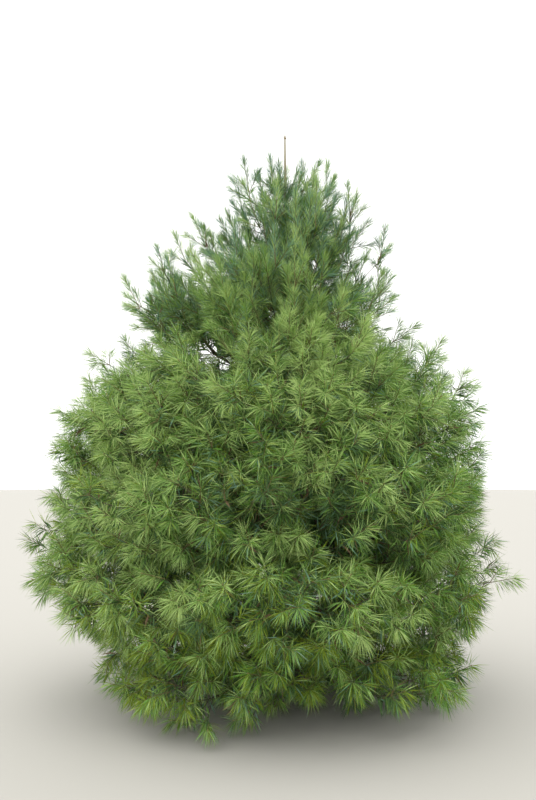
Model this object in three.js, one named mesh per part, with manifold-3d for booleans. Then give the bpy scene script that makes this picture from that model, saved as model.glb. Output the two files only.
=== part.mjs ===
// A young pine tree, about four metres tall, rooted in level ground. Millimetres, +Z up.
// The origin is the middle of the flat cut under the trunk. -Y is the front, and +X is to the right.
// Whorls of boughs leave the trunk one above the other, and each bough carries one mass of needles.
import * as THREE from 'three';
import { mergeVertices } from 'three/addons/utils/BufferGeometryUtils.js';
import Module from 'manifold-3d';

const wasm = await Module();
wasm.setup();

// Trunk: it tapers from a flared foot to the tip of the leading shoot, and leans a little to the left.
const TREE_HEIGHT = 4160;
const STEM_RADIUS = 42;
const TIP_RADIUS = 5;
const STEM_TAPER = 0.9;
const FLARE_RADIUS = 24;
const FLARE_HEIGHT = 90;
const ROOT_LOBES = 5;
const ROOT_LOBE_SHARE = 0.16;
const LEAN_AT_TIP = -50;
const SWAY = 9;
const TRUNK_SIDES = 15;
const TRUNK_RINGS = 16;

// Boughs
const BOUGH_SIDES = 7;
const BOUGH_STEPS = 4;
const BOUGH_SAG = 28;
const BOUGH_TAPER = 0.35;
const BOUGH_END_GAP = 0.9;

// Masses of needles
const MASS_ROUND_STEPS = 13;
const MASS_LONG_STEPS = 8;
const MASS_FULLNESS = 3.5;
const DENT_SHARE = 0.13;
const END_DENT_SHARE = 0.09;
const GAP_BETWEEN_MASSES = 12;
const GROUND_CLEARANCE = 35;
const SEAT_GAP = 0.4;

// Whorls from the ground up. whorl is the height where the boughs leave the trunk, and tip the height of
// the middle of the foliage at its furthest reach. The reaches are from the trunk's line to the
// furthest needles, deep is how far the foliage may go up or down from its middle, and bare the length
// of bough that shows. spread is the share of the free room sideways that the masses fill.
const WHORLS = [
  {
    name: 'skirt', whorl: 290, tip: 330, curve: 1.0, bare: 400, radius: 15, deep: 330, spread: 0.96,
    left: 1630, right: 1540, front: 1500, back: 1560,
    headings: [-126, -50, 20, 92, 164],
  },
  {
    name: 'lower', whorl: 560, tip: 900, curve: 1.1, bare: 480, radius: 17, deep: 320, spread: 0.97,
    left: 1950, right: 1600, front: 1640, back: 1720,
    headings: [-91, -18, 52, 124, 196],
  },
  {
    name: 'middle', whorl: 900, tip: 1500, curve: 1.15, bare: 440, radius: 17, deep: 330, spread: 0.97,
    left: 1850, right: 1640, front: 1530, back: 1620,
    headings: [-130, -52, 18, 88, 158],
  },
  {
    name: 'shoulder', whorl: 1290, tip: 2060, curve: 1.2, bare: 370, radius: 15, deep: 330, spread: 0.96,
    left: 1760, right: 1450, front: 1330, back: 1480,
    headings: [-96, -24, 48, 118, 190],
  },
  {
    name: 'upper', whorl: 1720, tip: 2490, curve: 1.25, bare: 290, radius: 13, deep: 310, spread: 0.9,
    left: 1530, right: 1190, front: 1060, back: 1180,
    headings: [-82, 4, 96, 186],
  },
  {
    name: 'high', whorl: 2210, tip: 3010, curve: 1.3, bare: 190, radius: 11, deep: 640, spread: 0.88,
    left: 1350, right: 790, front: 760, back: 840,
    headings: [-104, -12, 78, 172],
  },
  {
    name: 'top', whorl: 2930, tip: 3470, curve: 1.2, bare: 0, radius: 0, deep: 260, spread: 0.95,
    left: 720, right: 640, front: 540, back: 540,
    headings: [-60, 60, 180],
  },
];

// The foliage at the top of the crown ends at a roof that falls away from the leading shoot.
const ROOF_HEIGHT = 4040;
const ROOF_FALL = 0.72;

const DIRECTIONS = ['right', 'back_right', 'back', 'back_left', 'left', 'front_left', 'front', 'front_right'];

const bark = new THREE.MeshStandardMaterial({ color: 0x4a4038, roughness: 0.9, metalness: 0 });
const youngBark = new THREE.MeshStandardMaterial({ color: 0x5a4c3c, roughness: 0.85, metalness: 0 });
const needles = new THREE.MeshStandardMaterial({ color: 0x5e7d3c, roughness: 0.75, metalness: 0 });

const radians = THREE.MathUtils.degToRad;

// Centre line of the trunk at a height.
function trunkCentre(height) {
  const share = height / TREE_HEIGHT;
  const x = LEAN_AT_TIP * share ** 1.4 + SWAY * Math.sin(2 * Math.PI * share);
  const y = SWAY * Math.sin(3 * Math.PI * share);
  return new THREE.Vector3(x, y, height);
}

function trunkRadius(height, angle) {
  const stem = TIP_RADIUS + (STEM_RADIUS - TIP_RADIUS) * (1 - height / TREE_HEIGHT) ** STEM_TAPER;
  const flare = Math.exp(-height / FLARE_HEIGHT);
  const lobes = 1 + ROOT_LOBE_SHARE * flare * Math.cos(ROOT_LOBES * angle);
  return (stem + FLARE_RADIUS * flare) * lobes;
}

// A closed cylinder with every point put in place by its angle, its share of the length and of the radius.
function warpedCylinder(sides, rings, place) {
  const geometry = new THREE.CylinderGeometry(1, 1, 1, sides, rings);
  const position = geometry.getAttribute('position');
  for (let i = 0; i < position.count; i++) {
    const x = position.getX(i);
    const z = position.getZ(i);
    const across = Math.min(1, Math.hypot(x, z));
    const point = place(Math.atan2(-z, x), position.getY(i) + 0.5, across);
    position.setXYZ(i, point.x, point.y, point.z);
  }
  return geometry;
}

// Rings lie closer together in the flare at the foot. growth makes a sleeve round the trunk.
function trunkGeometry(growth) {
  return warpedCylinder(TRUNK_SIDES, TRUNK_RINGS, (angle, share, across) => {
    const height = TREE_HEIGHT * share ** 1.5;
    const reach = across * (trunkRadius(height, angle) + growth);
    const overrun = share === 0 ? -growth : share === 1 ? growth : 0;
    const offset = new THREE.Vector3(reach * Math.cos(angle), reach * Math.sin(angle), overrun);
    return trunkCentre(height).add(offset);
  });
}

// Reach of a whorl in a heading, blended from its four named reaches.
function reachAt(whorl, angle) {
  const acrossShare = Math.cos(angle);
  const alongShare = Math.sin(angle);
  const side = acrossShare > 0 ? whorl.right : whorl.left;
  const depth = alongShare > 0 ? whorl.back : whorl.front;
  return side * acrossShare ** 2 + depth * alongShare ** 2;
}

// Height of the middle of a whorl's foliage at a distance from the trunk's line.
function middleHeight(whorl, distance, angle) {
  const share = distance / reachAt(whorl, angle);
  return whorl.whorl + (whorl.tip - whorl.whorl) * share ** whorl.curve;
}

// How far the foliage of a whorl goes up from its middle: at most to the roof, or halfway to the next whorl.
function headroom(index, distance, angle) {
  const whorl = WHORLS[index];
  const own = middleHeight(whorl, distance, angle);
  const roof = Math.max(0, ROOF_HEIGHT - ROOF_FALL * distance - own);
  const above = WHORLS[index + 1];
  if (!above) return roof;
  const gap = (middleHeight(above, distance, angle) - own) / 2 - GAP_BETWEEN_MASSES;
  return Math.min(whorl.deep, gap, roof);
}

// The same downwards, where the lowest whorl ends above the ground.
function footroom(index, distance, angle) {
  const whorl = WHORLS[index];
  const own = middleHeight(whorl, distance, angle);
  const below = WHORLS[index - 1];
  const gap = below
    ? (own - middleHeight(below, distance, angle)) / 2 - GAP_BETWEEN_MASSES
    : own - GROUND_CLEARANCE;
  return Math.min(whorl.deep, gap);
}

// 0 where the foliage is full and 1 where it is dented most, in a pattern of its own for each seed.
function dent(a, b, c, seed) {
  const waves =
    Math.sin(4.3 * b + 2.1 * c + seed) +
    Math.sin(3.7 * c - 2.9 * a + 1.7 * seed) +
    Math.sin(5.1 * a + 3.3 * b + 2.3 * seed);
  return (waves + 3) / 6;
}

// Distance from the trunk's line at a share a of a mass, from -1 at its inner to 1 at its outer end.
function distanceAt(whorl, a, angle) {
  const reach = reachAt(whorl, angle);
  return (reach + whorl.bare + a * (reach - whorl.bare)) / 2;
}

// One mass of needles: a rounded, dented block that fills its own share of the whorl.
// a runs outwards, b sideways and c upwards, each from -1 to 1. The inner end has no dent, for the bough.
function massGeometry(index, heading, halfWidth, seed) {
  const whorl = WHORLS[index];
  const geometry = new THREE.SphereGeometry(1, MASS_ROUND_STEPS, MASS_LONG_STEPS);
  const position = geometry.getAttribute('position');
  for (let i = 0; i < position.count; i++) {
    const unit = [position.getY(i), -position.getX(i), position.getZ(i)];
    const sum = unit.reduce((total, u) => total + Math.abs(u) ** MASS_FULLNESS, 0);
    const fullness = 1 / sum ** (1 / MASS_FULLNESS);
    const dented = dent(...unit, seed);
    const a = unit[0] * fullness * (1 - (unit[0] > 0 ? END_DENT_SHARE * dented : 0));
    const b = unit[1] * fullness * (1 - DENT_SHARE * dented);
    const c = unit[2] * fullness * (1 - DENT_SHARE * dented);
    const angle = heading + halfWidth * b;
    const distance = distanceAt(whorl, a, angle);
    const room = c > 0 ? headroom(index, distance, angle) : footroom(index, distance, angle);
    const height = middleHeight(whorl, distance, angle) + c * room;
    const centre = trunkCentre(height);
    const x = centre.x + distance * Math.cos(angle);
    const y = centre.y + distance * Math.sin(angle);
    position.setXYZ(i, x, y, height);
  }
  return geometry;
}

// One bough: a tapering limb from inside the trunk to the inner end of its mass of needles.
function boughGeometry(whorl, heading) {
  const length = whorl.bare - BOUGH_END_GAP;
  return warpedCylinder(BOUGH_SIDES, BOUGH_STEPS, (angle, share, across) => {
    const distance = length * share;
    const sag = BOUGH_SAG * Math.sin(Math.PI * share);
    const height = middleHeight(whorl, distance, heading) - sag;
    const centre = trunkCentre(height);
    const reach = across * whorl.radius * (1 - BOUGH_TAPER * share);
    const sideways = reach * Math.cos(angle);
    return new THREE.Vector3(
      centre.x + distance * Math.cos(heading) - sideways * Math.sin(heading),
      centre.y + distance * Math.sin(heading) + sideways * Math.cos(heading),
      height + reach * Math.sin(angle),
    );
  });
}

function toSolid(geometry) {
  geometry.deleteAttribute('normal');
  geometry.deleteAttribute('uv');
  const merged = mergeVertices(geometry, 1e-3);
  const mesh = new wasm.Mesh({
    numProp: 3,
    vertProperties: merged.getAttribute('position').array,
    triVerts: new Uint32Array(merged.index.array),
  });
  return new wasm.Manifold(mesh);
}

function toMesh(solid, name, material) {
  const made = solid.getMesh();
  const geometry = new THREE.BufferGeometry();
  geometry.setAttribute('position', new THREE.BufferAttribute(made.vertProperties, 3));
  geometry.setIndex(new THREE.BufferAttribute(made.triVerts, 1));
  geometry.computeVertexNormals();
  const mesh = new THREE.Mesh(geometry, material);
  mesh.name = name;
  return mesh;
}

// The largest piece is kept where the trunk's sleeve cuts a solid in two.
function largestPiece(solid) {
  return solid.decompose().sort((one, other) => other.volume() - one.volume())[0];
}

function directionName(degrees) {
  const turn = ((degrees % 360) + 360) % 360;
  return DIRECTIONS[Math.round(turn / 45) % DIRECTIONS.length];
}

// Each mass takes the share of the whorl between the headings halfway to its neighbours.
function shareOfWhorl(headings, place) {
  const count = headings.length;
  const own = headings[place];
  const before = place ? headings[place - 1] : headings[count - 1] - 360;
  const after = place < count - 1 ? headings[place + 1] : headings[0] + 360;
  const low = (own + before) / 2;
  const high = (own + after) / 2;
  return { heading: radians((low + high) / 2), halfWidth: radians((high - low) / 2) };
}

const tree = new THREE.Group();
tree.add(toMesh(toSolid(trunkGeometry(0)), 'trunk', bark));
const sleeve = toSolid(trunkGeometry(SEAT_GAP));

WHORLS.forEach((whorl, index) => {
  whorl.headings.forEach((degrees, place) => {
    const { heading, halfWidth } = shareOfWhorl(whorl.headings, place);
    const seed = 1.9 * index + 2.7 * place;
    const name = `${whorl.name}_${directionName(degrees)}`;
    const mass = toSolid(massGeometry(index, heading, whorl.spread * halfWidth, seed));
    tree.add(toMesh(largestPiece(mass.subtract(sleeve)), `foliage_${name}`, needles));
    if (whorl.bare > 0) {
      const bough = toSolid(boughGeometry(whorl, heading));
      tree.add(toMesh(largestPiece(bough.subtract(sleeve)), `bough_${name}`, youngBark));
    }
  });
});

export default tree;
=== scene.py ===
"""Looks for a young pine tree: bark, boughs, twigs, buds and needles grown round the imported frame.

Metres, +Z up. The origin is the middle of the flat cut under the trunk, and -Y is the front.
"""

import math
from collections import namedtuple

import bpy
import numpy as np
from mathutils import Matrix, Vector
from mathutils.bvhtree import BVHTree


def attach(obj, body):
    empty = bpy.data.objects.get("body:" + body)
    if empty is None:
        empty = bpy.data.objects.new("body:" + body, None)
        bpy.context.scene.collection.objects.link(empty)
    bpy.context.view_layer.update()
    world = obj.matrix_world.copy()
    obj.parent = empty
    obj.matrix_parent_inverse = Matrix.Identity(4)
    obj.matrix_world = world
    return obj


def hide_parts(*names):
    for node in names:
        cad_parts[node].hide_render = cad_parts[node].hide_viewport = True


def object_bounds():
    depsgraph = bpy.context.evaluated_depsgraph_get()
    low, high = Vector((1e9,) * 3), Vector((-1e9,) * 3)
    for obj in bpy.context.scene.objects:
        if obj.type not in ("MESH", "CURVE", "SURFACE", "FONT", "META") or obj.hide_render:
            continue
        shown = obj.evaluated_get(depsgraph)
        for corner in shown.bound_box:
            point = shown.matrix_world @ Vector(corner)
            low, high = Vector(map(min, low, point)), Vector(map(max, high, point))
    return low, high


bl_info = {
    "name": "Young pine tree",
    "version": (1, 0, 0),
    "blender": (4, 5, 0),
    "location": "View3D > Sidebar > Pine",
    "description": "Grows the boughs, twigs and needles of a young pine tree",
    "category": "Add Mesh",
}

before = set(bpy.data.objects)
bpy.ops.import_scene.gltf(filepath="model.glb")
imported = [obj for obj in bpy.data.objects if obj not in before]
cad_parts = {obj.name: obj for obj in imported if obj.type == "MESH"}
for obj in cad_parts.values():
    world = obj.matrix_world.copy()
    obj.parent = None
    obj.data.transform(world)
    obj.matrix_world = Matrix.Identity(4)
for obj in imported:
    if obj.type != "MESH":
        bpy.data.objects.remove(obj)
frame_low, frame_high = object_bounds()

FOLIAGE = [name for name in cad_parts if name.startswith("foliage_")]
BOUGHS = [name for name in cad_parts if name.startswith("bough_")]

# The whorls of boughs, from the ground up, with the sizes of the solids that they replace.
Whorl = namedtuple(
    "Whorl", "name start tip curve bare radius deep spread left right front back headings"
)
WHORLS = (
    Whorl("skirt", 0.29, 0.33, 1.0, 0.40, 0.015, 0.33, 0.96,
          1.63, 1.54, 1.50, 1.56, (-126, -50, 20, 92, 164)),
    Whorl("lower", 0.56, 0.90, 1.1, 0.48, 0.017, 0.32, 0.97,
          1.95, 1.60, 1.64, 1.72, (-91, -18, 52, 124, 196)),
    Whorl("middle", 0.90, 1.50, 1.15, 0.44, 0.017, 0.33, 0.97,
          1.85, 1.64, 1.53, 1.62, (-130, -52, 18, 88, 158)),
    Whorl("shoulder", 1.29, 2.06, 1.2, 0.37, 0.015, 0.33, 0.96,
          1.76, 1.45, 1.33, 1.48, (-96, -24, 48, 118, 190)),
    Whorl("upper", 1.72, 2.49, 1.25, 0.29, 0.013, 0.31, 0.9,
          1.53, 1.19, 1.06, 1.18, (-82, 4, 96, 186)),
    Whorl("high", 2.21, 3.01, 1.3, 0.19, 0.011, 0.64, 0.88,
          1.35, 0.79, 0.76, 0.84, (-104, -12, 78, 172)),
    Whorl("top", 2.93, 3.47, 1.2, 0.0, 0.0, 0.26, 0.95,
          0.72, 0.64, 0.54, 0.54, (-60, 60, 180)),
)
ROOF_HEIGHT = 4.04
ROOF_FALL = 0.72
GROUND_CLEARANCE = 0.035
MASS_FULLNESS = 3.5
BOUGH_SAG = 0.028
BOUGH_TAPER = 0.35
BOUGH_END = 0.86
BOUGH_POINTS = 26
BARE_SHARE = 0.7
# Stretch of the trunk that bears the top masses, in metres below their start and below the tip.
TOP_BELOW = 0.35
TOP_SHORT = 0.22
TOP_POINTS = 22

TREE_HEIGHT = 4.16
STEM_RADIUS = 0.042
TIP_RADIUS = 0.005
STEM_TAPER = 0.9
FLARE_RADIUS = 0.024
FLARE_HEIGHT = 0.09
ROOT_LOBES = 5
ROOT_LOBE_SHARE = 0.16
LEAN_AT_TIP = -0.05
LEAN_BEND = 1.4
SWAY = 0.009

UP = np.array([0.0, 0.0, 1.0])
SIDEWAYS = np.array([1.0, 0.0, 0.0])
STEEP = 0.9

# Places on the crown, as seen from the front: place in the trunk's plane and radius of each.
# Openings that the sky shows through:
WINDOWS = (
    (-0.66, 2.56, 0.04), (-0.62, 2.49, 0.052), (-0.53, 2.41, 0.045), (-0.16, 2.81, 0.03),
    (0.34, 2.80, 0.035), (0.42, 2.70, 0.05), (0.74, 2.72, 0.05), (0.19, 3.16, 0.04),
    (0.29, 3.03, 0.03), (-0.25, 3.47, 0.04), (-0.66, 3.68, 0.14), (-0.90, 3.54, 0.06),
    (-1.32, 3.24, 0.08), (0.03, 0.55, 0.03), (0.57, 0.45, 0.02), (0.70, 0.40, 0.02),
    (1.00, 0.59, 0.025), (1.09, 0.45, 0.02), (1.15, 0.25, 0.02),
)
WINDOW_RIM = 0.03
# Hollows in the front, where the inner twigs show:
HOLLOWS = (
    (0.33, 2.87, 0.07), (-0.58, 2.20, 0.06), (-0.60, 2.04, 0.05), (0.37, 2.10, 0.06),
    (0.40, 1.96, 0.05), (0.35, 1.33, 0.10), (0.86, 1.32, 0.07), (-0.58, 1.02, 0.08),
    (0.28, 1.06, 0.08), (-0.62, 1.36, 0.07), (-0.42, 1.33, 0.11), (-0.22, 1.31, 0.10),
    (-0.02, 1.33, 0.08), (0.16, 1.24, 0.11), (0.34, 1.20, 0.11), (0.40, 1.02, 0.08),
    (0.52, 1.12, 0.09), (0.68, 1.05, 0.10), (-0.97, 1.16, 0.05), (-0.67, 0.45, 0.05),
    (0.20, 0.42, 0.06), (0.02, 0.72, 0.08), (0.10, 0.48, 0.10), (-0.11, 0.26, 0.06),
    (-0.05, 0.48, 0.07),
)
HOLLOW_DEPTH = 0.33
# Places that nothing shows through:
THICK = (
    (-0.69, 0.80, 0.07), (-0.64, 0.32, 0.06), (-0.08, 1.76, 0.08), (-0.49, 2.96, 0.08),
    (-0.36, 3.07, 0.05), (-0.93, 2.96, 0.06), (0.09, 3.42, 0.05), (0.12, 3.70, 0.05),
    (0.47, 3.05, 0.05), (-0.68, 3.04, 0.06), (-0.25, 3.21, 0.05), (0.77, 2.49, 0.05),
    (-0.98, 0.63, 0.05), (0.34, 3.08, 0.05), (0.29, 3.36, 0.05), (1.22, 0.69, 0.05),
    (0.37, 2.95, 0.06), (0.84, 0.34, 0.06), (1.16, 0.59, 0.05), (0.84, 0.83, 0.05),
    (-0.19, 3.59, 0.05), (0.38, 3.41, 0.04), (0.84, 2.46, 0.04), (1.12, 0.35, 0.04),
)
THICK_RIM = 0.04
# Places with the palest fans, partly fresher needles and partly painted light on these outermost
# fans:
PALE_FANS = (
    (-1.28, 1.02, 0.22), (-1.00, 0.97, 0.14), (-1.15, 1.86, 0.18), (-0.85, 0.72, 0.16),
    (-0.62, 0.78, 0.16), (0.04, 1.02, 0.13), (-0.22, 1.02, 0.12), (0.64, 1.00, 0.10),
    (0.10, 1.55, 0.15), (-0.42, 2.32, 0.14), (0.42, 2.36, 0.14), (0.21, 2.34, 0.13),
    (0.06, 2.49, 0.14), (0.36, 2.49, 0.12), (-0.30, 2.78, 0.12), (-1.28, 1.62, 0.20),
    (-0.82, 1.02, 0.12), (0.06, 1.90, 0.13), (1.02, 1.88, 0.16), (0.42, 0.48, 0.08),
    (0.92, 0.46, 0.17), (0.90, 0.72, 0.10),
)
PALE_DEPTH = 0.25

# Lowest sprays in front: how far below the eye they hang for each metre away, left and right of
# the trunk, and the waves of that hem.
HEM_LEFT = 0.335
HEM_RIGHT = 0.30
HEM_TURN = (-0.06, 0.0)
HEM_RISE = 0.014
HEM_WAVE = 0.012

# Edge of the dense foliage, as seen from the front: height, left and right edge, both in the
# trunk's plane.
EDGE = (
    (-0.35, -0.95, 1.20), (-0.10, -1.20, 1.25), (0.15, -1.48, 1.34), (0.45, -1.60, 1.46),
    (0.70, -1.86, 1.48), (0.90, -1.98, 1.40), (1.10, -2.00, 1.40), (1.30, -1.94, 1.42),
    (1.50, -1.88, 1.45), (1.87, -1.79, 1.47), (2.07, -1.71, 1.40), (2.32, -1.55, 1.26),
    (2.44, -1.42, 1.15), (2.57, -1.14, 1.04), (2.63, -1.06, 0.98), (2.67, -1.06, 0.62),
    (2.72, -1.08, 0.64), (2.93, -1.16, 0.70), (3.10, -1.06, 0.74), (3.28, -0.96, 0.73),
    (3.34, -0.90, 0.71), (3.65, -0.53, 0.53), (3.86, -0.46, 0.34), (3.97, -0.36, 0.23),
)
EDGE_INSET = 0.03

# Furthest shoots on the outline, as seen from the front: sideways place and height of each tip.
TIPS = (
    (-0.48, 3.88), (-0.37, 3.96), (-0.26, 3.86), (-0.165, 4.03), (-0.03, 3.94), (0.09, 3.91),
    (0.17, 3.86), (0.235, 4.00), (0.32, 3.80), (0.415, 3.77), (0.51, 3.73), (0.60, 3.50),
    (0.15, 3.97), (0.00, 3.99), (0.05, 3.88), (0.13, 3.80), (0.22, 3.84), (-0.10, 3.95),
    (0.20, 3.72), (0.27, 3.90), (-0.01, 3.72), (0.06, 3.62), (-0.13, 3.74), (0.34, 3.70),
    (-0.42, 3.74), (-0.30, 3.72), (-0.18, 3.82), (-0.08, 3.86), (0.03, 3.80), (0.28, 3.62),
    (0.11, 3.70), (-0.21, 3.68), (0.19, 3.52), (0.43, 3.58), (0.50, 3.40), (0.56, 3.22),
    (-0.38, 3.54), (-0.14, 3.60), (0.695, 3.43), (0.775, 3.33), (0.72, 3.10), (0.68, 2.98),
    (-0.75, 3.50), (-0.91, 3.43), (-0.62, 3.36), (-0.80, 3.27), (-0.66, 3.16), (-1.00, 3.26),
    (-1.07, 3.12), (-1.24, 3.02), (-1.24, 2.84), (-1.30, 2.62), (-1.44, 2.43), (-1.56, 2.28),
    (0.98, 2.72), (1.10, 2.58), (1.30, 2.38), (1.38, 2.26), (1.38, 1.98), (1.45, 1.84),
    (1.52, 1.12), (1.52, 0.98), (1.46, 0.80), (-1.95, 1.14), (-1.90, 1.02), (-1.90, 1.26),
    (-1.84, 0.88), (-1.78, 1.12), (-1.82, 1.42), (-1.70, 0.74),
    (-1.66, 0.62), (-1.54, 0.48), (-1.44, 0.34),
)
EYE = np.array([-0.18, -5.6, 1.6])
EYE_PITCH = 5.29
FOCAL_SHARE = 756 / 800


def count_property(name, use, count):
    return bpy.props.IntProperty(name=name, description=use, default=count)


def number_property(name, use, number):
    return bpy.props.FloatProperty(name=name, description=use, default=number)


def length_property(name, use, length):
    return bpy.props.FloatProperty(name=name, description=use, default=length, unit="LENGTH")


def colour_property(name, use, colour):
    return bpy.props.FloatVectorProperty(
        name=name, description=use, subtype="COLOR", default=colour
    )


def tone_property(name, use, colour):
    return colour_property(name, f"Colour of the {use}", colour)


class TrunkLook(bpy.types.PropertyGroup):
    sides: count_property("Sides", "Sides of the trunk's mesh", 30)
    ring_step: length_property("Ring step", "Height between two rings of the mesh", 0.014)
    relief: length_property("Bark relief", "Depth of the furrows and scars in the bark", 0.0022)
    bark_dark: colour_property("Dark bark", "Colour in the furrows", (0.035, 0.028, 0.022))
    bark_light: colour_property("Light bark", "Colour of the plates", (0.115, 0.098, 0.082))
    bough_dark: colour_property("Dark bough", "Colour in its furrows", (0.035, 0.028, 0.022))
    bough_light: colour_property("Light bough", "Colour of its bark", (0.137, 0.111, 0.085))
    leader: colour_property("Leader", "Colour of the young stem at the top", (0.33, 0.29, 0.19))


class TwigLook(bpy.types.PropertyGroup):
    twig_dark: colour_property("Dark twig", "Colour in the cracks", (0.05, 0.038, 0.028))
    twig_light: colour_property("Light twig", "Colour of the twigs", (0.125, 0.098, 0.075))
    shoot_dark: colour_property("Dark shoot", "Colour in its cracks", (0.12, 0.1, 0.045))
    shoot_light: colour_property("Light shoot", "Colour of its bark", (0.235, 0.195, 0.09))
    bud_dark: colour_property("Dark bud", "Colour between the scales", (0.20, 0.13, 0.06))
    bud_light: colour_property("Light bud", "Colour of the buds' scales", (0.42, 0.30, 0.15))


class CrownLook(bpy.types.PropertyGroup):
    seed: count_property("Seed", "Seed of the branching", 7)
    candidates: count_property("Candidates", "Places tried for a shoot in each mass", 1500)
    spacing: length_property("Spacing", "Least distance between two sprays at the surface", 0.137)
    spacing_high: length_property("Spacing near the top", "The same in the open upper crown", 0.168)
    spacing_inside: number_property("Spacing inside", "How much wider for each metre inside", 0.045)
    depth: length_property("Foliage depth", "How far inside the crown needles still grow", 0.85)
    twig_radius: length_property("Twig radius", "Radius of a twig with one shoot", 0.0024)
    shoot_low: length_property("Low shoot", "Length of a leading shoot in the lower crown", 0.115)
    shoot_high: length_property("High shoot", "Length of a leading shoot in the upper crown", 0.31)


class NeedleLook(bpy.types.PropertyGroup):
    length: length_property("Length", "Length of a full needle", 0.125)
    width: length_property("Width", "Width of a needle at its middle", 0.0041)
    per_metre: number_property("Needles per metre", "Needles on each metre of shoot", 495.0)
    inner: number_property("Inner share", "Share of the needles that inner sprays keep", 0.25)
    droop: number_property("Droop", "How far a low needle hangs", 0.3)
    # The fresh tone is partly the paler new needles and partly a painted highlight, the pale sheen
    # of needles that catch the sky.
    fresh_and_sheen: tone_property("Fresh", "palest needles at the shoots' ends", (0.40, 0.55, 0.18))
    bright: tone_property("Bright", "well lit young needles", (0.275, 0.43, 0.118))
    mid: tone_property("Middle", "most common green", (0.148, 0.288, 0.058))
    grass: tone_property("Grass", "pure green of the lower right", (0.115, 0.27, 0.03))
    cool: tone_property("Cool", "bluer needles near the top", (0.16, 0.30, 0.20))
    straw: tone_property("Straw", "yellowest sprays", (0.33, 0.42, 0.09))
    leaf: tone_property("Leaf", "yellow green of the low sprays", (0.215, 0.31, 0.030))
    olive: tone_property("Olive", "dull yellow green near the ground", (0.17, 0.235, 0.018))
    deep: tone_property("Deep", "needles in the shade inside", (0.074, 0.14, 0.051))
    dead: tone_property("Dead", "old brown needles inside", (0.15, 0.10, 0.055))


class StageLook(bpy.types.PropertyGroup):
    floor_colour: colour_property("Floor", "Colour of the floor", (0.47, 0.456, 0.423))
    floor_radius: length_property("Floor radius", "Radius of the floor", 60.0)
    sky_strength: number_property("Sky", "Strength of the light from all round", 1.35)
    key_strength: number_property("Key light", "Strength of the large soft light", 1.5)


# Tones of the needles, with the share of each near the ground, in the belt of the crown, on its
# crest, near the top and inside, and how many times more common it is far left and far right.
Tone = namedtuple("Tone", "name low belt crest top inside left right")
TONES = (
    # Fresh is partly paler new needles and partly a painted highlight.
    Tone("fresh_and_sheen", 0.06, 0.22, 0.40, 0.17, 0.00, 1.15, 0.5),
    Tone("bright", 0.15, 0.34, 0.35, 0.17, 0.02, 1.3, 0.75),
    Tone("mid", 0.13, 0.26, 0.15, 0.15, 0.12, 0.9, 1.1),
    Tone("grass", 0.13, 0.09, 0.06, 0.03, 0.07, 0.4, 3.8),
    # Cool's share inside paints the bluish shade between the fans.
    Tone("cool", 0.01, 0.035, 0.05, 0.43, 0.10, 0.65, 1.1),
    Tone("straw", 0.03, 0.03, 0.02, 0.01, 0.00, 1.8, 0.3),
    Tone("leaf", 0.24, 0.06, 0.03, 0.01, 0.02, 1.5, 1.3),
    Tone("olive", 0.19, 0.02, 0.00, 0.00, 0.03, 1.0, 0.7),
    Tone("deep", 0.08, 0.07, 0.05, 0.08, 0.59, 0.6, 1.8),
    Tone("dead", 0.00, 0.00, 0.00, 0.00, 0.19, 0.0, 0.0),
)
DULL_TONES = ("leaf", "olive", "deep", "dead")
# Roughness and gloss of the dull tones and of the others.
DULL_FINISH = (0.6, 0.15)
FRESH_FINISH = (0.45, 0.35)
# Where a group of tones begins, and over how far it takes over: upwards for the belt, the crest and
# the top, inwards for the shaded tones and sideways for the left and right ones.
BELT_TONES = (0.5, 0.8)
# The crest's larger shares of the fresh and well lit tones paint light on the upper crown.
CREST_TONES = (1.8, 0.4)
TOP_TONES = (2.2, 0.6)
INNER_TONES = (0.05, 0.25)
SIDE_TONES = (0.4, 0.7)
# The top's bluer, darker tones start this much higher in front than behind and at the sides: painted
# shade under the boughs above.
FRONT_TOP_LIFT = 0.3
HOLLOW_SHADE = 0.7
OWN_TONE_SHARE = 0.5
TONE_STRAY = 0.12
# Power of the draw for a tone: near 1, higher for paler needles at a shoot's end and in the pale
# fans. The paler ends are partly fresher needles and partly painted light, and the darker needles at
# a shoot's foot are partly painted shade.
FOOT_FRESHNESS_AND_SHADE = 0.7
END_FRESHER_AND_LIT = 0.55
PALE_FAN_FRESHER_AND_LIT = 1.3
# Most needles in one piece, at two triangles each.
MOST_NEEDLES = 95000
# Needles reach past the solids' box by at most this share of each side and this length.
NEEDLE_ROOM_SHARE = 0.025
NEEDLE_ROOM = 0.008
NEEDLE_CLEARANCE = 0.006
FEWEST_NEEDLES = 8
INNER_NEEDLES = (0.14, 0.16)
INNER_WIDER = 1.9
TOP_THINNER = 0.22
TOP_NARROWER = 0.2
LAST_YEAR_LENGTH = 0.17
LAST_YEAR_DEPTH = 0.45
# Lean of a needle from its shoot in degrees, at the shoot's foot and how much less at its end.
WIDE_LEAN = (78, 44)
NARROW_LEAN = (42, 24)
LEAN_STRAY = 9
# Start and stretch in height of the needles that hang most.
LOW_NEEDLES = (1.3, -0.7)
NEEDLE_LENGTHS = (0.72, 1.1)
NEEDLE_DROOPS = (0.2, 1.5)
BEND_AT = 0.4

# How far in from the reach of the solids the sprays stand, by the whorl's height and to the right.
SLIM_HEIGHTS = (0.3, 0.9, 2.2)
SLIM_SHARES = (0.05, 0.03, 0.0)
SLIM_RIGHT = 0.045
WHORL_BORDER = 0.6
# Heights of the sprays between the whorls and round the trunk, and their shares of the way out.
GAP_HEIGHTS = (0.5, 2.8)
GAP_SHARES = (0.7, 0.97)
GAP_PATCH = 0.45
CORE_HEIGHTS = (0.45, 2.4)
CORE_SHARES = (0.04, 1)
CORE_SHARE = 0.65
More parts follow.
